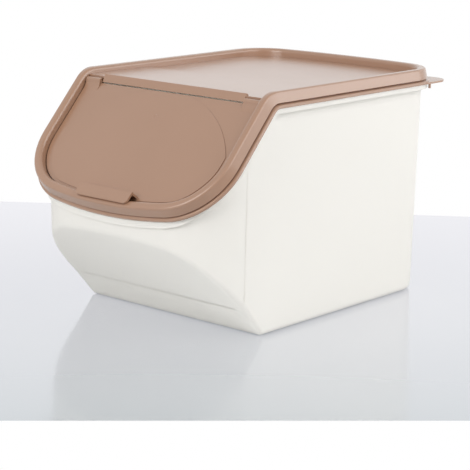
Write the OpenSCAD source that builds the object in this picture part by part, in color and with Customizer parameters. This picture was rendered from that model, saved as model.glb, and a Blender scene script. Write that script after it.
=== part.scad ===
// Rice bin with a press-on lid and a flip door in the lid's sloping front.
// Millimetres. +Z is up, the door faces -Y, and the origin lies on the floor
// under the middle of the whole bin.
// Outlines are laid out as [x, f], where f is the distance ahead of the bend
// line, the line where the lid's flat top would meet its sloping front.

/* [Overall] */
// Width over the lid's lower lip
lid_w = 242; // [200:1:280]
// Height from the floor to the top of the lid's bead
height = 222; // [195:1:260]
// Length of the lid from the bend line back to its rear edge
top_l = 272; // [220:1:320]
// Length of the sloping front from the bend line down to its front edge
slope_l = 141.5; // [125:0.5:155]
// Fall of the sloping front below the horizontal, in degrees
slope_deg = 47.5; // [42:0.5:51]
// Radius over the bead where the top bends into the slope
bend_r = 25; // [22:1:40]

/* [Lid outline] */
// Radius of the gently bowed front edge
front_r = 416; // [300:1:800]
// Radius of the two front corners
front_corner_r = 62; // [45:1:75]
// Radius of the gently bowed rear edge
rear_r = 750; // [500:10:1200]
// Radius of the two rear corners
rear_corner_r = 46; // [36:1:60]

/* [Lid section] */
// Depth of the lid from the top of its bead to the bottom of its lip
lip_drop = 14.8; // [13.5:0.1:18]
// Height of the flared lip
lip_h = 3; // [1.5:0.1:3.5]
// How far the skirt stands inside the lip at its lower edge
skirt_in = 2; // [1:0.1:3]
// How far the bead stands inside the lip at the top
bead_in = 3.7; // [3:0.1:5]
// Width of the bead
bead_w = 9; // [8:0.1:12]
// Rounding of the bead's outer edge
bead_out_r = 2.4; // [1:0.1:3]
// Rounding of the bead's inner edge
bead_inn_r = 3.4; // [2:0.1:4]
// Wall of the lid and of the door
lid_t = 2; // [1.5:0.1:2.5]

/* [Top panel] */
// Depth of the rear panel below the top of the bead
panel_drop = 8; // [7:0.1:9]
// Depth of the front land below the top of the bead
land_drop = 6; // [5:0.1:7]
// Distance of the crease behind the bend line
crease_back = 99; // [60:1:150]
// Length of the ramp from the crease up to the land
ramp_l = 26; // [10:1:40]

/* [Hinge] */
// Length of the fixed bar between the door's two ears
bar_l = 176; // [140:1:184]
// How far the bar stands above the land
bar_up = 2; // [1:0.1:3]
// Depth of the bar's lower edge below the top of the bead
bar_drop = 11.2; // [10.5:0.1:12]
// Hinge axis, distance ahead of the bend line
axis_f = 0.6; // [0:0.1:1.5]
// Hinge axis, depth below the top of the bead
axis_drop = 10.6; // [10:0.1:11.2]
// Radius of each ear's knuckle
knuckle_r = 3; // [2.6:0.1:3.4]
// Gap between each knuckle and the land behind it
slit_gap = 0.5; // [0.4:0.1:0.8]
// Radius of the hinge pins
pin_r = 1.5; // [1.2:0.1:1.8]
// Radial running clearance of a pin in its hole
pin_gap = 0.08; // [0.03:0.01:0.1]
// Length of a pin outside its ear
pin_l = 4.2; // [3:0.1:4.6]
// Wall of the boss round each pin hole
boss_wall = 1.6; // [1.2:0.1:2]

/* [Door] */
// Depth of the door's face below the top of the bead
door_drop = 7.4; // [7:0.1:8]
// Gap between the door and the rim
door_gap = 0.6; // [0.4:0.1:1]
// Distance of the door's top edge down the slope from the bend line
door_top = 11.6; // [11.2:0.1:13]
// Distance of the ears' inner ends from the bar
ear_gap = 1; // [0.5:0.1:2]
// Height of the raised field on the door
field_up = 0.6; // [0.3:0.1:1]
// Distance of the raised field inside the door's edge
field_in = 6; // [4:0.5:12]
// Radius of the raised field's arched top
field_r = 118; // [105:1:160]
// Distance of the arch's crown down the slope from the bend line
field_top = 8.5; // [7:0.5:30]
// Width of the finger tab
tab_w = 65; // [40:1:80]
// Length of the ramp from the door's face up to the finger tab
tab_ramp = 13; // [10:0.5:16]
// Height of the finger tab's top above the bead
tab_up = 2.6; // [2.4:0.1:4]
// Distance of the finger tab's tip inside the lip
tab_in = 7.8; // [5:0.1:8.5]
// Width of the ledge under the door's edge
ledge_w = 4; // [3:0.5:6]
// Gap between the door and the ledge
ledge_gap = 0.3; // [0.2:0.1:0.5]

/* [Rear lift tabs] */
// Width of each tab
lift_w = 38; // [25:1:50]
// How far the tabs reach behind the lid's rear edge
lift_out = 2; // [0:0.5:8]
// How far the tabs' sides stand inside the lip
lift_in = 0.8; // [0.5:0.1:3]
// Radius of the tabs' corners
lift_r = 17; // [8:1:18]
// Thickness of the tabs
lift_t = 1.8; // [1.4:0.1:2.4]
// Length of the rib hanging below each tab
rib_h = 4.2; // [2:0.1:6]
// Distance of the rib ahead of the tab's rear edge
rib_ahead = 33; // [30:1:38]

/* [Bin] */
// Wall of the bin
wall_t = 2; // [1.5:0.1:2.4]
// Draft of the walls, in degrees
draft_deg = 1; // [0.5:0.1:1.2]
// How far the mouth's wall stands inside the lip at the sides and the rear
mouth_in = 7.7; // [7.4:0.1:8.2]
// How far the mouth's wall stands inside the lip at the front, seen from above
mouth_front_in = 3; // [3:0.1:5]
// Height of the mouth's wall above the flange
mouth_h = 3.1; // [2:0.1:3.2]
// Height of the flange
flange_h = 4.3; // [2.5:0.1:6]
// How far the flange stands inside the lip
flange_in = 1.5; // [1:0.1:2.5]
// Gap between the lid's lip and the flange
seat_gap = 0.2; // [0.1:0.1:0.3]
// Length of the flat base along the middle
base_l = 256; // [220:1:290]
// Rise of the undercut front above the horizontal, in degrees
scoop_deg = 46.5; // [40:0.5:52]
// Radius along the edge of the bin's base
edge_r = 6.5; // [4:0.5:9]
// Radius along the undercut's side edges
scoop_edge_r = 10; // [4:0.5:12]
// Radius of the bowed front wall
bin_front_r = 574; // [400:1:900]
// Radius of the front wall's two corners
bin_corner_r = 57; // [45:1:60]
// Radius of the mouth's two front corners, under the lid
mouth_corner_r = 44; // [40:1:48]

/* [Hidden] */
$fn = 96;

half_w = lid_w / 2;
eps = 0.01;

// The bend runs from the end of the flat top to the start of the slope.
bend_run = bend_r * tan(slope_deg / 2);

// How far a point s down the slope and h over the bead lies ahead of the bend line
function ahead(s, h) = s * cos(slope_deg) + h * sin(slope_deg);

// Reach of the bead and of the finger tab ahead of the bend line, and of the
// lift tabs behind it. The whole bin is centred on the origin.
tab_chamfer = 0.7;
tab_tip = slope_l - tab_in;
front_reach = max(
    ahead(slope_l - bead_in - bead_out_r, -bead_out_r) + bead_out_r,
    ahead(tab_tip - tab_chamfer, tab_up), ahead(tab_tip, tab_up - tab_chamfer));
rear_reach = top_l + lift_out;
bend_y = (front_reach - rear_reach) / 2;

// Lid levels, all below the top of the bead
wall_in = bead_in + bead_w;
ledge_drop = door_drop + lid_t + ledge_gap;
foot_drop = ledge_drop + lid_t / 2;

// The land ends at the bar's back, and runs on to the knuckles beside the bar.
bar_back = 4.5;
knuckle_drop = axis_drop - land_drop - lid_t;
land_back = sqrt(pow(knuckle_r + slit_gap, 2) - pow(knuckle_drop, 2)) - axis_f;

// Bin levels and outlines
draft = tan(draft_deg);
seat_drop = lip_drop + seat_gap;
under_drop = seat_drop + flange_h;
mouth_drop = seat_drop - mouth_h;
wall_rise = draft * (height - under_drop);
lip_front = slope_l * cos(slope_deg) - lip_drop * sin(slope_deg);
lip_front_z = height - slope_l * sin(slope_deg) - lip_drop * cos(slope_deg);
mouth_front = lip_front - mouth_front_in;
front_rise = draft * lip_front_z;
scoop_f = base_l - top_l + mouth_in + wall_rise;

// Places and turns
function to_y(f) = bend_y - f;
module on_top() translate([0, bend_y, height]) children();
module on_slope() on_top() rotate([slope_deg, 0, 0]) children();

// An arc of n + 1 stations from angle a0 to a1, measured from +f towards +x.
// A station is [x, f, normal x, normal f].
function arc(cx, cf, r, a0, a1, n) =
    [for (i = [0:n]) let (a = a0 + (a1 - a0) * i / n)
        [cx + r * sin(a), cf + r * cos(a), sin(a), cos(a)]];

// Centre and turning angle of the corner between a bowed end and a straight side
function corner_f(w, r, c) = sqrt((r - c) * (r - c) - (w - c) * (w - c));
function corner_a(w, r, c) = atan2(w - c, corner_f(w, r, c));

// Right half of an outline, from the middle of the rear to the middle of the front
function half_outline(w, rear, rr, rc, front, fr, fc, sides) =
    let (ar = corner_a(w, rr, rc), af = corner_a(w, fr, fc))
    let (cr = rr - rear - corner_f(w, rr, rc), cf = front - fr + corner_f(w, fr, fc))
    concat(
        [for (s = arc(0, rr - rear, rr, 180, 180 - ar, 5)) s],
        [for (i = [1:9]) arc(w - rc, cr, rc, 180 - ar, 90, 9)[i]],
        [for (f = sides) [w, f, 1, 0]],
        [for (i = [0:11]) arc(w - fc, cf, fc, 90, af, 12)[i]],
        [for (s = arc(0, front - fr, fr, af, 0, 6)) s]
    );

// The whole outline, anticlockwise from the rear seen from above
function mirrored(h) = concat(h,
    [for (i = [len(h) - 2:-1:1]) [-h[i].x, h[i].y, -h[i][2], h[i][3]]]);

function offset_pts(o, n) = [for (s = o) [s.x + n * s[2], s.y + n * s[3]]];

// The lid's outline as if its slope were unrolled into the plane of the top,
// plain and with stations round the bend
function lid_stations(sides) = mirrored(half_outline(half_w, top_l, rear_r, rear_corner_r,
    slope_l, front_r, front_corner_r, sides));
lid_outline = lid_stations([]);
bend_steps = 8;
rim_line = lid_stations([for (i = [0:bend_steps]) bend_run * (2 * i / bend_steps - 1)]);

// A point n outside a station and h over the bead, folded down round the bend
function fold(s, n, h) =
    let (u = s.y + s[3] * n, a = slope_deg * max(0, min(1, (s.y / bend_run + 1) / 2)))
    let (back = min(0, u + bend_run), down = max(0, u - bend_run))
    let (f = -bend_run + back + (bend_r + h) * sin(a) + down * cos(a))
    [s.x + n * s[2], to_y(f), height - bend_r + (bend_r + h) * cos(a) - down * sin(a)];

// Section of the lid's rim as [distance outside the lip, height over the bead's top]
function turn(cx, cy, r, a0, a1, n) =
    [for (i = [0:n]) let (a = a0 + (a1 - a0) * i / n) [cx + r * cos(a), cy + r * sin(a)]];

ledge_t = 1.4;
lip_top = -lip_drop + lip_h;
groove = 1.2;
wall_lean = 0.4;
rim_section = concat(
    [[-0.4, -lip_drop], [0, -lip_drop + 0.4], [0, lip_top - 0.6], [-0.6, lip_top]],
    [[-skirt_in - groove, lip_top + groove / 2], [-skirt_in, lip_top + 1.5 * groove]],
    turn(-bead_in - bead_out_r, -bead_out_r, bead_out_r, 0, 90, 5),
    turn(wall_lean - wall_in + bead_inn_r, -bead_inn_r, bead_inn_r, 90, 180, 6),
    [[-wall_in, -foot_drop], [lid_t - wall_in, -foot_drop]],
    [[lid_t + wall_lean - wall_in, -lid_t], [-bead_in - lid_t, -lid_t]],
    [[-skirt_in - groove - lid_t, lip_top], [-lid_t, -lip_drop]]
);

module rim() {
    n = len(rim_section);
    last = len(rim_line);
    polyhedron(
        points = [for (s = rim_line) for (p = rim_section) fold(s, p.x, p.y)],
        faces = [for (i = [0:last - 1]) for (j = [0:n - 1])
            let (a = i * n + j, b = i * n + (j + 1) % n, next = (i + 1) % last * n)
            let (c = next + j, d = next + (j + 1) % n)
            each [[a, c, b], [b, c, d]]],
        convexity = 8);
}

// The part of an outline, moved out by n, that lies more than s down the slope
module below(n, s) intersection() {
    polygon([for (p = offset_pts(lid_outline, n)) [p.x, -p.y]]);
    translate([-half_w, -2 * slope_l]) square([lid_w, 2 * slope_l - s]);
}

ledge_s = bend_run + 8;
module ledge() on_slope() translate([0, 0, -ledge_drop - lid_t])
    linear_extrude(lid_t) difference() {
        below(ledge_t - wall_in, ledge_s);
        below(-wall_in - ledge_w, ledge_s - 1);
    }

module both_sides() {
    children();
    mirror([1, 0, 0]) children();
}

// Bar, land and panel as one section across the lid, [f, height over the bead's top]
panel_section = [
    [-rear_reach, -panel_drop], [-crease_back, -panel_drop],
    [-crease_back + ramp_l, -land_drop], [-land_back, -land_drop],
    [-land_back, -land_drop - lid_t], [-crease_back + ramp_l, -land_drop - lid_t],
    [-crease_back, -panel_drop - lid_t], [-rear_reach, -panel_drop - lid_t]
];

bar_section = [
    [-bar_back - 1, -land_drop], [-bar_back + 0.6, -land_drop + bar_up * 0.8],
    [-bar_back + 1.4, -land_drop + bar_up], [-bar_back + 2, -land_drop + bar_up * 0.8],
    [axis_f + 0.3, -bar_drop + 0.8], [axis_f + 0.4, -bar_drop],
    [axis_f - 1, -bar_drop - 0.6], [-bar_back, -land_drop - lid_t],
    [-bar_back - 1, -land_drop - lid_t]
];

module across(section, width)
    translate([width / 2, 0, 0]) rotate([90, 0, -90])
        linear_extrude(width) polygon(section);

module top_panel() on_top()
    intersection() {
        across(panel_section, lid_w);
        translate([0, 0, -lip_drop])
            linear_extrude(lip_drop)
                polygon([for (p = offset_pts(lid_outline, lid_t / 2 - wall_in)) [p.x, -p.y]]);
    }

module hinge_bar() on_top() across(bar_section, bar_l);

// Centre of the hinge, and the wall that carries a pin
module at_hinge() on_top() translate([0, -axis_f, -axis_drop]) rotate([0, 90, 0]) children();
pin_x = half_w - wall_in - door_gap;
boss_r = pin_r + pin_gap + boss_wall;

boss_l = pin_l + 0.2;

module hinge_boss()
    at_hinge() translate([0, 0, pin_x + door_gap])
        cylinder(r = boss_r, h = boss_l);

module hinge_hole()
    at_hinge() translate([0, 0, pin_x])
        cylinder(r = pin_r + pin_gap, h = door_gap + boss_l + 1);

// A rounded plate with its low corner at [x0, y0]
function plate_pts(x0, y0, x1, y1, r) = concat(
    turn(x1 - r, y1 - r, r, 0, 90, 8), turn(x0 + r, y1 - r, r, 90, 180, 8),
    turn(x0 + r, y0 + r, r, 180, 270, 8), turn(x1 - r, y0 + r, r, 270, 360, 8));

module lift_tab() on_top() {
    x1 = half_w - lift_in;
    translate([0, 0, -lip_drop]) {
        linear_extrude(lift_t) difference() {
            polygon(plate_pts(x1 - lift_w, rear_reach - 2 * lift_r - 20, x1, rear_reach, lift_r));
            polygon([for (p = offset_pts(lid_outline, -lid_t / 2)) [p.x, -p.y]]);
        }
        translate([x1 - lid_t, rear_reach - rib_ahead - lid_t, -rib_h])
            cube([lid_t * 0.9, lid_t, rib_h + lift_t / 2]);
    }
}

module lid() color([0.66, 0.50, 0.43]) difference() {
    union() {
        rim();
        ledge();
        top_panel();
        hinge_bar();
        both_sides() {
            hinge_boss();
            lift_tab();
        }
    }
    both_sides() hinge_hole();
}

axis_s = axis_f * cos(slope_deg) + axis_drop * sin(slope_deg);
axis_off = axis_f * sin(slope_deg) - axis_drop * cos(slope_deg);
ear_in = bar_l / 2 + ear_gap;

// The door lies in the slope. Its outline is the rim's, drawn in by the gap.
module door_plate() on_slope() {
    translate([0, 0, -door_drop - lid_t])
        linear_extrude(lid_t) below(-wall_in - door_gap, door_top);
    translate([0, 0, -door_drop - eps]) linear_extrude(field_up + eps) intersection() {
        below(-wall_in - door_gap - field_in, door_top);
        translate([0, -field_top - field_r]) circle(r = field_r, $fn = 180);
    }
}

// Each ear reaches up beside the bar and rolls round the hinge axis. Its knuckle
// is a little narrower than its plate.
knuckle_in = 0.2;
module ear() {
    on_slope() translate([ear_in, -door_top - 1, -door_drop - lid_t])
        cube([pin_x - ear_in, door_top + 1 - axis_s, lid_t]);
    at_hinge() translate([0, 0, ear_in + knuckle_in])
        cylinder(r = knuckle_r, h = pin_x - ear_in - 2 * knuckle_in);
    at_hinge() translate([0, 0, pin_x - 1]) cylinder(r = pin_r, h = pin_l + 1);
}

// Section of the finger tab as [distance down the slope, height over the bead's top].
// The tab is straight, so its root stands back by the bow of the rim beside its ends.
// A ramp carries it over the rim, and leaves a hollow above the door's edge.
tab_bow = front_r - sqrt(front_r * front_r - tab_w * tab_w / 4);
tab_root = slope_l - wall_in - door_gap - tab_bow;
tab_level = tab_root + 2.8;
tab_section = [
    [tab_root - tab_ramp - 0.8, -door_drop - 0.5], [tab_level, tab_up],
    [tab_tip - tab_chamfer, tab_up], [tab_tip, tab_up - tab_chamfer],
    [tab_tip, tab_up - 2 * tab_chamfer], [tab_tip - tab_chamfer, tab_up - 3 * tab_chamfer],
    [tab_level + 0.4, tab_up - 3 * tab_chamfer],
    [tab_root - tab_ramp + 1, -door_drop - 1.7]
];
tab_corner_r = 5;

module finger_tab() on_slope()
    intersection() {
        across(tab_section, tab_w);
        translate([0, 0, -lip_drop]) linear_extrude(2 * lip_drop)
            polygon(plate_pts(-tab_w / 2, -tab_tip, tab_w / 2, -slope_l / 2, tab_corner_r));
    }

module flip_door() color([0.68, 0.52, 0.45]) union() {
    door_plate();
    both_sides() ear();
    finger_tab();
}

// Height of the lid's folded surface, lowered by drop, over the point f
function roof(f, drop) =
    let (r = bend_r - drop, g = f + bend_run)
    g <= 0 ? height - drop
    : g < r * sin(slope_deg) ? height - bend_r + sqrt(r * r - g * g)
    : height - bend_r + r * cos(slope_deg) - (g - r * sin(slope_deg)) * tan(slope_deg);

// A leaning wall's height where it meets the folded surface, found in four steps
function wall_top(s, drop, n = 4) =
    n == 0 ? roof(s.y, drop) : roof(s.y + s[3] * draft * wall_top(s, drop, n - 1), drop);

// Stations down each straight side, closest where the flange bends
bend_span = bend_r * sin(slope_deg);
side_list = concat(
    [for (i = [1:2]) -top_l * (1 - i / 3) + 20],
    [for (i = [0:10]) -bend_run + (bend_span - bend_run * 0.4) * i * i / 100],
    [for (i = [1:2]) bend_run + i * 6]
);

function bin_stations(extra, front, fr, fc) =
    mirrored(half_outline(half_w - mouth_in - extra, top_l - mouth_in - extra,
        rear_r - mouth_in - extra, rear_corner_r - mouth_in - extra,
        front, fr, fc, side_list));

// Outer face of the walls carried down to the floor, the mouth and the flange
wall_line = bin_stations(wall_rise, mouth_front - front_rise,
    bin_front_r, bin_corner_r - front_rise);
mouth_line = bin_stations(0, mouth_front, bin_front_r, mouth_corner_r);
flange_line = bin_stations(flange_in - mouth_in, lip_front - flange_in / 2,
    bin_front_r, mouth_corner_r + 3);

// A point on the wall at height z, moved inwards by t
function wall_pt(s, z, t) =
    [s.x + s[2] * (draft * z - t), to_y(s.y + s[3] * (draft * z - t)), z];

// The wall's foot stands on the floor or on the undercut front, both raised by t
function foot_z(s, t) =
    let (k = tan(scoop_deg), lift = t / cos(scoop_deg))
    max(t, (k * (s.y - s[3] * t - scoop_f) + lift) / (1 - k * s[3] * draft));

// Rounded edge from the wall to the floor, as a curve pulled to the sharp corner.
// Its radius changes over the first part of the undercut's rise.
edge_rise = 20;
function edge_pt(s, t, u) =
    let (z = foot_z(s, t), r = edge_r - t + (scoop_edge_r - edge_r) * min(1, (z - t) / edge_rise))
    let (corner = wall_pt(s, z, t))
    let (up = [s[2] * draft, -s[3] * draft, 1] / norm([draft, 1]))
    let (slide = z > t + eps ? -s[3] * tan(scoop_deg) : 0)
    let (inward = [-s[2], s[3], slide] / norm([1, slide]))
    let (reach = r / tan(acos(up * inward) / 2))
    corner + (1 - u) * (1 - u) * reach * up + u * u * reach * inward;

edge_steps = 4;
function ring(line, drop, t) =
    [for (s = line) let (f = s.y - s[3] * t) [s.x - s[2] * t, to_y(f), roof(f, drop)]];

bin_rings = concat(
    [for (i = [0:edge_steps]) [for (s = wall_line) edge_pt(s, 0, 1 - i / edge_steps)]],
    [[for (s = wall_line) wall_pt(s, wall_top(s, under_drop), 0)]],
    [ring(flange_line, under_drop, 0), ring(flange_line, seat_drop, 0)],
    [ring(mouth_line, seat_drop, 0), ring(mouth_line, mouth_drop, 0)],
    [ring(mouth_line, mouth_drop, wall_t), ring(mouth_line, seat_drop, wall_t)],
    [[for (s = wall_line) wall_pt(s, wall_top(s, under_drop), wall_t)]],
    [for (i = [0:edge_steps]) [for (s = wall_line) edge_pt(s, wall_t, i / edge_steps)]]
);

module bin_body() color([0.93, 0.92, 0.90, 0.6]) {
    n = len(wall_line);
    last = len(bin_rings) - 1;
    bands = [for (r = [0:last - 1]) for (j = [0:n - 1])
        let (a = r * n + j, b = r * n + (j + 1) % n)
        each [[a, b, a + n], [b, b + n, a + n]]];
    floor_out = [for (j = [0:n / 2 - 1]) let (k = (n - j) % n)
        each strip(j, j + 1, n - j - 1, k)];
    floor_in = [for (t = floor_out) [t[2] + last * n, t[1] + last * n, t[0] + last * n]];
    polyhedron(points = [for (r = bin_rings) each r],
        faces = concat(bands, floor_out, floor_in), convexity = 6);
}

// Two triangles across the floor between a station and its mirror image
function strip(a, b, c, d) =
    a == d ? [[a, c, b]] : b == c ? [[a, d, b]] : [[a, c, b], [a, d, c]];

bin_body();
lid();
flip_door();
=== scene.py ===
# %% [markdown]
# # A rice bin with a flip lid
# The object is three plastic mouldings: a translucent bin, a brown lid that presses
# over its mouth, and a small brown door that flips open in the lid's sloping front.
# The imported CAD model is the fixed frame. Everything here is in metres, in its axes:
# +Z is up and the door faces -Y.

# %% Load the frame
import math

import bmesh
import bpy
from mathutils import Matrix, Vector


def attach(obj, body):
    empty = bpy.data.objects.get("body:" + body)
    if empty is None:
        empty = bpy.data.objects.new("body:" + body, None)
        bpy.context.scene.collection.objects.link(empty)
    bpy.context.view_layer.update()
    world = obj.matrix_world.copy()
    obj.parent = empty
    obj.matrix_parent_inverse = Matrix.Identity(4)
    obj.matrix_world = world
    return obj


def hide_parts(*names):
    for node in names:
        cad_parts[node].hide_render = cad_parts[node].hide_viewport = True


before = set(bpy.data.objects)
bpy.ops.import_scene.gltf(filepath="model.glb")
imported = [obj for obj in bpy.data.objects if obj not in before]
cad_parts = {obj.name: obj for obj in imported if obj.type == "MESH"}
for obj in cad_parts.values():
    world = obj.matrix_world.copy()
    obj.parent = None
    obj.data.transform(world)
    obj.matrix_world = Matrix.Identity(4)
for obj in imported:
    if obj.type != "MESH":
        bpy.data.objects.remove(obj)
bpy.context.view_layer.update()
MM = 0.001

# %% [markdown]
# ## Camera
# A product photograph is taken with a fairly long lens, a little above the object
# and off to one side, so that its front and one side show together. The camera is
# placed first, because every later choice is judged through it. Its direction is
# given as a turn, a tilt and a small roll.

# %% Find the camera's directions
CAMERA_PLACE = Vector((1.0423, -1.2059, 0.4298))
CAMERA_TURN, CAMERA_TILT, CAMERA_ROLL = (math.radians(a) for a in (40.82, 13.01, 0.87))

ahead = Vector((-math.sin(CAMERA_TURN) * math.cos(CAMERA_TILT),
                math.cos(CAMERA_TURN) * math.cos(CAMERA_TILT),
                -math.sin(CAMERA_TILT)))
level = Vector((math.cos(CAMERA_TURN), math.sin(CAMERA_TURN), 0))
raised = level.cross(ahead)
right = level * math.cos(CAMERA_ROLL) + raised * math.sin(CAMERA_ROLL)
up = raised * math.cos(CAMERA_ROLL) - level * math.sin(CAMERA_ROLL)
print("camera looks along", [round(v, 3) for v in ahead])

# %% Place the camera
SENSOR_WIDTH, FOCAL_LENGTH = 36, 129

camera = bpy.data.objects.new("camera", bpy.data.cameras.new("camera"))
bpy.context.scene.collection.objects.link(camera)
camera.matrix_world = Matrix.Translation(CAMERA_PLACE) @ Matrix(
    (right, up, -ahead)).transposed().to_4x4()
camera.data.sensor_width = SENSOR_WIDTH
camera.data.lens = FOCAL_LENGTH
camera.data.clip_start, camera.data.clip_end = 0.05, 50
bpy.context.scene.camera = camera
print("camera is", round(CAMERA_PLACE.length, 3), "m from the origin")

# %% [markdown]
# ## Colour and node helpers
# Colours are written as sRGB hex values, the way a paint or plastic chart gives
# them. Blender's sockets want linear light, so one function turns them over.

# %% Helpers for materials
def linear(hex_code, alpha=1.0):
    channels = [int(hex_code[i:i + 2], 16) / 255 for i in (1, 3, 5)]
    return tuple(c / 12.92 if c < 0.04045 else ((c + 0.055) / 1.055) ** 2.4
                 for c in channels) + (alpha,)


def new_material(name):
    material = bpy.data.materials.new(name)
    material.use_nodes = True
    material.node_tree.nodes.clear()
    return material


def add_node(tree, kind, settings=(), inputs=()):
    """Adds a node, sets its properties, and sets or links its inputs."""
    node = tree.nodes.new(kind)
    for key, value in dict(settings).items():
        setattr(node, key, value)
    for key, value in dict(inputs).items():
        if isinstance(value, bpy.types.NodeSocket):
            tree.links.new(value, node.inputs[key])
        else:
            node.inputs[key].default_value = value
    return node


# %% [markdown]
# ## Brown polypropylene
# The lid and the door are injection moulded in opaque polypropylene, coloured a dusty
# brown. The steel mould leaves a satin skin: a soft highlight, a very fine texture
# and faint flow marks. At a grazing angle the skin mirrors the white room, and a coat
# layer gives that mirror. The gaps round the door look deep because of painted shade:
# an ambient occlusion node paints a darker brown into the colour of what lies within
# a few millimetres of another surface there.

# %% Make the brown polypropylene
BROWN_GRAIN, BROWN_FLOW, PAINTED_SHADE_REACH = 0.9 * MM, 55 * MM, 4 * MM
SKIN_RELIEF = 0.05 * MM


def moulded_brown():
    material = new_material("moulded_brown_polypropylene")
    tree = material.node_tree
    place = add_node(tree, "ShaderNodeTexCoord")
    grain = add_node(tree, "ShaderNodeTexNoise", {"noise_dimensions": "3D"},
                     {"Vector": place.outputs["Object"], "Scale": 1 / BROWN_GRAIN,
                      "Detail": 3.0, "Roughness": 0.6})
    flow = add_node(tree, "ShaderNodeTexNoise", {"noise_dimensions": "3D"},
                    {"Vector": place.outputs["Object"], "Scale": 1 / BROWN_FLOW,
                     "Detail": 2.0, "Roughness": 0.5})
    tint = add_node(tree, "ShaderNodeMix", {"data_type": "RGBA"},
                    {"Factor": flow.outputs["Fac"], "A": linear("#A27B61"),
                     "B": linear("#9C765C")})
    # Painted shade: where the ambient occlusion finds another surface within a few
    # millimetres, the base colour turns to a darker brown.
    open_air = add_node(tree, "ShaderNodeAmbientOcclusion", {"samples": 8},
                        {"Distance": PAINTED_SHADE_REACH})
    depth = add_node(tree, "ShaderNodeMapRange", {},
                     {"Value": open_air.outputs["AO"], "From Min": 0.15, "From Max": 0.65})
    painted_gap_shade = add_node(tree, "ShaderNodeMix", {"data_type": "RGBA"},
                      {"Factor": depth.outputs["Result"], "A": linear("#6A4839"),
                       "B": tint.outputs["Result"]})
    gloss = add_node(tree, "ShaderNodeMapRange", {},
                     {"Value": flow.outputs["Fac"], "To Min": 0.36, "To Max": 0.42})
    bump = add_node(tree, "ShaderNodeBump", {},
                    {"Height": grain.outputs["Fac"], "Strength": 0.12,
                     "Distance": SKIN_RELIEF})
    skin = add_node(tree, "ShaderNodeBsdfPrincipled", {},
                    {"Base Color": painted_gap_shade.outputs["Result"],
                     "Roughness": gloss.outputs["Result"], "IOR": 1.49,
                     "Coat Weight": 1.0, "Coat Roughness": 0.24, "Coat IOR": 1.49,
                     "Normal": bump.outputs["Normal"]})
    add_node(tree, "ShaderNodeOutputMaterial", {}, {"Surface": skin.outputs["BSDF"]})
    return material


BROWN = moulded_brown()
print("made", BROWN.name)

# %% [markdown]
# ## Translucent polypropylene
# The bin is natural polypropylene without pigment. Its crystals scatter light, so a
# 2 mm wall looks like frosted glass: light passes, but shapes behind it blur. Real
# scattering inside the wall renders slowly. A satin skin mixed with a translucent
# layer gives nearly the same look in far less time.

# %% Make the translucent polypropylene
CLEAR_GRAIN, LIGHT_THROUGH = 1.4 * MM, 0.28


def moulded_translucent():
    material = new_material("moulded_translucent_polypropylene")
    tree = material.node_tree
    place = add_node(tree, "ShaderNodeTexCoord")
    grain = add_node(tree, "ShaderNodeTexNoise", {"noise_dimensions": "3D"},
                     {"Vector": place.outputs["Object"], "Scale": 1 / CLEAR_GRAIN,
                      "Detail": 3.0, "Roughness": 0.6})
    bump = add_node(tree, "ShaderNodeBump", {},
                    {"Height": grain.outputs["Fac"], "Strength": 0.15,
                     "Distance": SKIN_RELIEF})
    skin = add_node(tree, "ShaderNodeBsdfPrincipled", {},
                    {"Base Color": linear("#FDFBF6"), "Roughness": 0.34, "IOR": 1.49,
                     "Normal": bump.outputs["Normal"]})
    glow = add_node(tree, "ShaderNodeBsdfTranslucent", {},
                    {"Color": linear("#FFFDF9"), "Normal": bump.outputs["Normal"]})
    wall = add_node(tree, "ShaderNodeMixShader", {},
                    {"Fac": LIGHT_THROUGH, 1: skin.outputs["BSDF"], 2: glow.outputs["BSDF"]})
    add_node(tree, "ShaderNodeOutputMaterial", {}, {"Surface": wall.outputs[0]})
    return material


CLEAR = moulded_translucent()
print("made", CLEAR.name)

# %% [markdown]
# ## From a bmesh to a piece
# Every new piece ends in the same way. Its faces shade smoothly, apart from the edges
# where the shape really turns. Then the bmesh becomes a mesh with its material, and
# the piece is told which body it moves with. Two short functions do that.

# %% Shade and finish a piece
SHARP_ANGLE = math.radians(32)
DOUBLES = 0.002 * MM


def shade(shape, sharp=SHARP_ANGLE):
    for face in shape.faces:
        face.smooth = True
    for line in shape.edges:
        line.smooth = len(line.link_faces) == 2 and line.calc_face_angle() < sharp


def finished(shape, name, material, body):
    mesh = bpy.data.meshes.new(name)
    shape.to_mesh(mesh)
    shape.free()
    mesh.materials.append(material)
    piece = bpy.data.objects.new(name, mesh)
    bpy.context.scene.collection.objects.link(piece)
    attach(piece, body)
    print(name, len(mesh.polygons), "faces")
    return piece


# %% [markdown]
# ## Mouldings
# The three mouldings could be modelled anew, but their solids already have the right
# shape, so each starts from its own. A solid's mesh is loose triangles, which are
# merged first. On the lid and the door the flat faces are then joined, and their
# normals are weighted, so that the swept and rolled surfaces shade as smooth skins.
# The bin keeps its triangles, because joined faces shaded badly inside it. A fine
# bevel rounds every sharp edge, as the mould's own edges are rounded.

# %% Copy a solid as a smooth moulding
FLAT_ANGLE = math.radians(0.2)


def moulding(node, name, body, material, edge, joined=True, reshape=None):
    shape = bmesh.new()
    shape.from_mesh(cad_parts[node].data)
    bmesh.ops.remove_doubles(shape, verts=shape.verts, dist=DOUBLES)
    if joined:
        bmesh.ops.dissolve_limit(shape, angle_limit=FLAT_ANGLE, verts=shape.verts,
                                 edges=shape.edges)
    if reshape:
        reshape(shape)
    shade(shape)
    piece = finished(shape, name, material, body)
    bevel = piece.modifiers.new("edge", "BEVEL")
    bevel.width, bevel.segments = edge, 3
    bevel.limit_method, bevel.angle_limit = "ANGLE", SHARP_ANGLE
    bevel.harden_normals = joined
    if joined:
        flats = piece.modifiers.new("flats", "WEIGHTED_NORMAL")
        flats.keep_sharp = True
    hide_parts(node)


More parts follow.
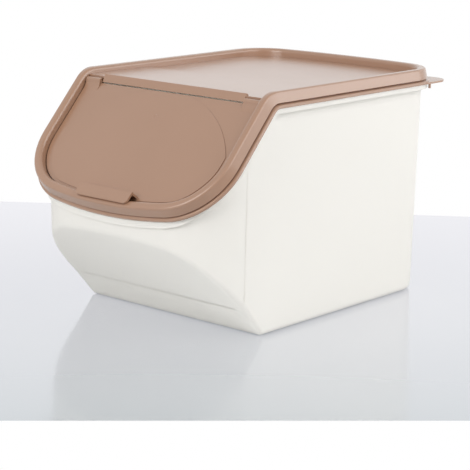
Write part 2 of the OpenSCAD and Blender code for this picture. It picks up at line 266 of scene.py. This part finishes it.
# %% [markdown]
# ## Places on the sloping front
# The front of the lid slopes down at one angle, and the door, the rim and the bin's
# flange all follow it. Points there are easier to give along the slope than in the
# frame's own axes: s runs down the slope from the bend line, off is the height over
# the rim's top, and x runs across. One function turns such a point into the frame's
# axes, and the other turns it back.

# %% Turn places on the slope into the frame's axes and back
SLOPE = math.radians(47.5)
BEND_Y, TOP_Z = -90.947, 222.0


def on_slope(s, off, x):
    ahead_of_bend = s * math.cos(SLOPE) + off * math.sin(SLOPE)
    over_top = off * math.cos(SLOPE) - s * math.sin(SLOPE)
    return Vector((x, BEND_Y - ahead_of_bend, TOP_Z + over_top)) * MM


def slope_place(point):
    ahead_of_bend, over_top = BEND_Y - point.y / MM, point.z / MM - TOP_Z
    return (ahead_of_bend * math.cos(SLOPE) - over_top * math.sin(SLOPE),
            ahead_of_bend * math.sin(SLOPE) + over_top * math.cos(SLOPE), point.x / MM)


print("the bend is at, mm:", [round(v / MM, 1) for v in on_slope(0, 0, 0)])

# %% [markdown]
# ## The finger tab
# The tab at the door's lower edge rises over the rim as a short plate, steep at its
# front and back, so that a finger can push it up. It could be a piece of its own, but
# it is moulded with the door. So the corners of the solid's tab are moved, a few
# millimetres each, until the plate is as steep as the real one.

# %% Say where the tab's corners go
# Each line is a corner of the tab's section as (s, off), and its new place.
TAB_HALF_WIDTH = 33
SAME_CORNER = 0.06
TAB_MOVES = (((114.87, -6.8), (120.9, -6.8)),
             ((118.57, -6.8), (122.8, -6.8)),
             ((128.7, 1.95), (121.5, 2.1)),
             ((129.68, 2.57), (121.8, 2.55)),
             ((129.73, 2.6), (122.0, 2.6)),
             ((128.7, -0.4), (123.3, -0.2)),
             ((129.68, 0.21), (123.6, 0.35)),
             ((130.13, 0.5), (123.8, 0.5)))


def tab_goal(s, off, x):
    goals = [new for old, new in TAB_MOVES if math.dist(old, (s, off)) < SAME_CORNER]
    return on_slope(*goals[0], x) if goals and abs(x) < TAB_HALF_WIDTH else None


# %% [markdown]
# ## The door's raised field
# The door has a field that stands a little over its face, with an edge that runs
# round parallel to the rim. Its lower edge lies close to the tab. The field's upper
# surface and its foot on the face are lowered together, by a share that grows down
# the door, so that the upper part of the edge stays where it is.

# %% Reshape the door
FIELD_OFF, FACE_OFF, SAME_LEVEL = -6.8, -7.4, 0.05
LOWER_FROM, LOWER_RUN, LOWER_BY = 100, 18, 3.7


def refine_door(shape):
    places = [(vert, slope_place(vert.co)) for vert in shape.verts]
    field = {(round(s, 1), round(x, 1)) for _, (s, off, x) in places
             if abs(off - FIELD_OFF) < SAME_LEVEL}
    moved = 0
    for vert, (s, off, x) in places:
        goal = tab_goal(s, off, x)
        is_top = abs(off - FIELD_OFF) < SAME_LEVEL
        is_foot = abs(off - FACE_OFF) < SAME_LEVEL and (round(s, 1), round(x, 1)) in field
        if goal is None and (is_top or is_foot):
            share = max(0, min(1, (s - LOWER_FROM) / LOWER_RUN))
            goal = on_slope(s + LOWER_BY * share, off, x)
        if goal is not None:
            vert.co = goal
            moved += 1
    print("moved", moved, "corners of the door")


# %% [markdown]
# ## The bin's flange
# The flange is the narrow shelf round the bin that the lid's lip rests on. At the two
# front corners it runs closer to the wall than elsewhere. Its corners are arcs, so
# each point of it there is drawn in towards the arc's centre: most halfway round the
# corner, and not at all where the corner begins and ends. It stays in the slope's
# plane.

# %% Reshape the bin's flange
# The arc's centre lies this far from the middle and ahead of the bend line. Only
# points further than FLANGE_RADIUS from it belong to the flange.
FLANGE_X, FLANGE_AHEAD, FLANGE_RADIUS = 72.5, 31.9, 43.0
FLANGE_LEVELS, FLANGE_NEAR, FLANGE_DRAW = (-15, -19.3), 0.15, 4.5


def is_flange(off, across, along):
    at_level = min(abs(off - level) for level in FLANGE_LEVELS) < FLANGE_NEAR
    return (at_level and across > 0 and along > 0
            and math.hypot(across, along) > FLANGE_RADIUS)


def refine_bin(shape):
    moved = 0
    for vert in shape.verts:
        _, off, x = slope_place(vert.co)
        across, along = abs(x) - FLANGE_X, BEND_Y - vert.co.y / MM - FLANGE_AHEAD
        if is_flange(off, across, along):
            turn = math.atan2(across, along)
            draw = FLANGE_DRAW * math.sin(2 * turn)
            vert.co.x -= math.copysign(1, x) * draw * math.sin(turn) * MM
            vert.co.y += draw * math.cos(turn) * MM
            vert.co.z += draw * math.cos(turn) * math.tan(SLOPE) * MM
            moved += 1
    print("moved", moved, "corners of the bin's flange")


# %% [markdown]
# ## The three mouldings
# The bin is one moulding of clear plastic, and the lid and the door are two of brown.
# A sharp mould edge is really a rounding of about a quarter of a millimetre. It is too
# small to show its shape, but it catches a thin line of light.

# %% Make the three mouldings
BIN_EDGE, LID_EDGE, DOOR_EDGE = 0.3 * MM, 0.25 * MM, 0.25 * MM

moulding("bin_body", "bin_shell", "bin", CLEAR, BIN_EDGE,
         joined=False, reshape=refine_bin)
moulding("lid", "lid_cover", "lid", BROWN, LID_EDGE)
moulding("flip_door", "door_flap", "door", BROWN, DOOR_EDGE,
         reshape=refine_door)

# %% [markdown]
# ## The ears' slopes and the door's top edge
# The two ears that roll round the hinge run down into the door's face in a hollow
# curve, and between them the door's top edge reaches up to the hinge bar, so that only
# a thin line is open there. Both are bars of one section across the door. The section
# is drawn on the slope as a closed loop of edges, filled, and extruded along x. Loose
# points alone would be filled in the wrong order, because the curve is hollow. The
# bars' lower parts lie inside the door's plate, so that they look moulded in one.

# %% A bar across the door
def bar_across(shape, section, x0, x1):
    ends = [shape.verts.new(on_slope(s, off, x0)) for s, off in section]
    rim = [bmesh.ops.contextual_create(shape, geom=pair)["edges"][0]
           for pair in zip(ends, ends[1:] + ends[:1])]
    cap = bmesh.ops.edgeloop_fill(shape, edges=rim)["faces"]
    grown = bmesh.ops.extrude_face_region(shape, geom=cap, use_keep_orig=True)["geom"]
    bmesh.ops.translate(shape, vec=((x1 - x0) * MM, 0, 0),
                        verts=[v for v in grown if isinstance(v, bmesh.types.BMVert)])


def door_trim(name, section, spans):
    shape = bmesh.new()
    for x0, x1 in spans:
        bar_across(shape, section, x0, x1)
    bmesh.ops.recalc_face_normals(shape, faces=shape.faces)
    shade(shape)
    finished(shape, name, BROWN, "door")


# %% Finish the ears
EAR_IN, EAR_OUT, EAR_STEPS = 89.2, 107.5, 5
EAR_START, EAR_PULL, EAR_END, IN_PLATE = (10.15, -4.42), (13.3, -7.1), (19, -7.38), -7.9


def ear_point(u):
    return tuple((1 - u) ** 2 * a + 2 * u * (1 - u) * b + u * u * c
                 for a, b, c in zip(EAR_START, EAR_PULL, EAR_END))


ear_section = [ear_point(step / EAR_STEPS) for step in range(EAR_STEPS + 1)]
ear_section += [(EAR_END[0], IN_PLATE), (EAR_START[0], IN_PLATE)]
door_trim("ear_slopes", ear_section, ((-EAR_OUT, -EAR_IN), (EAR_IN, EAR_OUT)))

# %% Finish the door's top edge
# The section's corners as (s, off), and half of its length.
TOP_EDGE = ((9.7, -7.9), (9.8, -7.5), (10.2, -7.3), (12.0, -7.38), (12.0, -9.4), (9.7, -9.4))
TOP_EDGE_HALF = 89.1
door_trim("door_top_edge", TOP_EDGE, ((-TOP_EDGE_HALF, TOP_EDGE_HALF),))

# %% [markdown]
# ## The gate mark
# Molten plastic enters the mould at one point, the gate, and leaves a small round mark
# on the door's middle line. It is a fine ring that is partly sunk in the field. A bump
# in the material would do in the render, but a modelled ring is in the mesh as well.
# A circle of the ring's section is spun round, and the ring is laid on the slope.

# %% Make the gate mark
GATE_RADIUS, GATE_SECTION, GATE_S, GATE_SUNK = 2.1 * MM, 0.3 * MM, 37, 0.12

gate = bmesh.new()
bmesh.ops.create_circle(gate, cap_ends=False, radius=GATE_SECTION, segments=10)
bmesh.ops.rotate(gate, cent=(0, 0, 0), verts=gate.verts,
                 matrix=Matrix.Rotation(math.pi / 2, 3, "X"))
bmesh.ops.translate(gate, vec=(GATE_RADIUS, 0, 0), verts=gate.verts)
bmesh.ops.spin(gate, geom=gate.verts[:] + gate.edges[:], cent=(0, 0, 0), axis=(0, 0, 1),
               angle=2 * math.pi, steps=32, use_merge=True)
bmesh.ops.rotate(gate, cent=(0, 0, 0), verts=gate.verts,
                 matrix=Matrix.Rotation(SLOPE, 3, "X"))
bmesh.ops.translate(gate, vec=on_slope(GATE_S, FIELD_OFF - GATE_SUNK, 0), verts=gate.verts)
bmesh.ops.remove_doubles(gate, verts=gate.verts, dist=DOUBLES)
bmesh.ops.recalc_face_normals(gate, faces=gate.faces)
shade(gate, sharp=math.pi)
finished(gate, "gate_mark", BROWN, "door")

# %% [markdown]
# ## Table
# The bin stands on a pale table top, a flat sheet whose near and far edges both cross
# the view. It lies a little under the bin, so that the two surfaces don't flicker.

# %% Lay the table
# The corners are in metres.
TABLE_CORNERS = ((-1.468, -0.566), (-0.759, -1.222), (1.243, 0.673), (0.93, 1.179))
TABLE_DROP = 0.3 * MM

table_shape = bmesh.new()
corners = [table_shape.verts.new((x, y, -TABLE_DROP)) for x, y in TABLE_CORNERS]
bmesh.ops.contextual_create(table_shape, geom=corners)
bmesh.ops.recalc_face_normals(table_shape, faces=table_shape.faces)
if table_shape.faces[:][0].normal.z < 0:
    bmesh.ops.reverse_faces(table_shape, faces=table_shape.faces)
table_mesh = bpy.data.meshes.new("table_top")
table_shape.to_mesh(table_mesh)
table_shape.free()
table_top = bpy.data.objects.new("table_top", table_mesh)
bpy.context.scene.collection.objects.link(table_top)
print("table corners", TABLE_CORNERS)

# %% [markdown]
# ## Lacquer with a painted glow
# The table is lacquered, and mirrors the bin softly in a clear coat. Its pale colour is
# painted light: a glow that only the camera sees, so the table doesn't light the bin any
# more than its own colour would. The painted glow is fixed on the table: it is darker
# near its front edge and paler towards the back.

# %% Make the lacquer
# Painted light: the glow's colours near the front edge and towards the back, and where that
# gradient starts and ends.
GLOW_NEAR, GLOW_FAR = linear("#838E99"), linear("#A8A8B4")
GLOW_FROM, GLOW_TO = -0.38, 0.4


def lacquer_with_painted_glow():
    material = new_material("lacquer_with_painted_glow")
    tree = material.node_tree
    place = add_node(tree, "ShaderNodeTexCoord")
    away = add_node(tree, "ShaderNodeVectorMath", {"operation": "DOT_PRODUCT"},
                    {0: place.outputs["Object"],
                     1: (-math.sin(CAMERA_TURN), math.cos(CAMERA_TURN), 0)})
    depth = add_node(tree, "ShaderNodeMapRange", {},
                     {"Value": away.outputs["Value"], "From Min": GLOW_FROM,
                      "From Max": GLOW_TO})
    bowed = add_node(tree, "ShaderNodeMath", {"operation": "SQRT"},
                     {0: depth.outputs["Result"]})
    glow = add_node(tree, "ShaderNodeMix", {"data_type": "RGBA"},
                    {"Factor": bowed.outputs[0], "A": GLOW_NEAR, "B": GLOW_FAR})
    path = add_node(tree, "ShaderNodeLightPath")
    seen = add_node(tree, "ShaderNodeMix", {"data_type": "RGBA"},
                    {"Factor": path.outputs["Is Camera Ray"], "A": linear("#ECEFF2"),
                     "B": linear("#7C7B74")})
    skin = add_node(tree, "ShaderNodeBsdfPrincipled", {},
                    {"Base Color": seen.outputs["Result"], "Roughness": 0.14, "IOR": 1.5,
                     "Coat Weight": 1.0, "Coat Roughness": 0.1, "Coat IOR": 1.5,
                     "Emission Color": glow.outputs["Result"],
                     "Emission Strength": path.outputs["Is Camera Ray"]})
    add_node(tree, "ShaderNodeOutputMaterial", {}, {"Surface": skin.outputs["BSDF"]})
    return material


table_mesh.materials.append(lacquer_with_painted_glow())
print("the table is lacquered")

# %% [markdown]
# ## Room
# The studio is white all round. If all of that white lit the bin, pale plastic would
# clip, so the world is white only to the camera, to mirrors and through clear things,
# and dimmer as a light.

# %% Make the white room
WHITE, FILL_STRENGTH = (1, 1, 1, 1), 0.42


def white_room():
    room = bpy.data.worlds.new("white_room")
    room.use_nodes = True
    tree = room.node_tree
    tree.nodes.clear()
    path = add_node(tree, "ShaderNodeLightPath")
    seen = add_node(tree, "ShaderNodeMath", {"operation": "MAXIMUM"},
                    {0: path.outputs["Is Camera Ray"], 1: path.outputs["Is Glossy Ray"]})
    shown = add_node(tree, "ShaderNodeMath", {"operation": "MAXIMUM"},
                     {0: seen.outputs[0], 1: path.outputs["Is Transmission Ray"]})
    white = add_node(tree, "ShaderNodeBackground", {}, {"Color": WHITE, "Strength": 1.0})
    fill = add_node(tree, "ShaderNodeBackground", {},
                    {"Color": WHITE, "Strength": FILL_STRENGTH})
    mix = add_node(tree, "ShaderNodeMixShader", {},
                   {"Fac": shown.outputs[0], 1: fill.outputs[0], 2: white.outputs[0]})
    add_node(tree, "ShaderNodeOutputWorld", {}, {"Surface": mix.outputs[0]})
    return room


bpy.context.scene.world = white_room()
print("the room lights at", FILL_STRENGTH, "of its white")

# %% [markdown]
# ## Lamps
# Three large soft boxes light the bin: one in front, and two on its right side, of
# which the weaker stands behind. Large lamps make soft shadows, and a satin plastic
# shows them as broad, dim highlights. Each is aimed at the bin's middle.

# %% Hang the lamps
LAMP_AIM = Vector((0, 0, 0.1))


def soft_lamp(name, place, size, power):
    lamp = bpy.data.objects.new(name, bpy.data.lights.new(name, "AREA"))
    bpy.context.scene.collection.objects.link(lamp)
    lamp.location = place
    lamp.rotation_mode = "QUATERNION"
    lamp.rotation_quaternion = (LAMP_AIM - Vector(place)).to_track_quat("-Z", "Y")
    lamp.data.shape, lamp.data.size, lamp.data.size_y = "RECTANGLE", size, size
    lamp.data.energy = power
    print(name, "lamp", size, "m wide,", power, "W")


soft_lamp("front", (-0.1, -1.7, 0.9), 1.2, 18)
soft_lamp("side", (1.4, 0.1, 1.1), 1.2, 12.5)
soft_lamp("rear_side", (1.2, 1.1, 0.55), 1.0, 7)

# %% [markdown]
# ## View transform
# The standard view transform shows colours as they are written. The looks may not
# change the bin's size.

# %% Set the view transform
bpy.context.scene.view_settings.view_transform = "Standard"
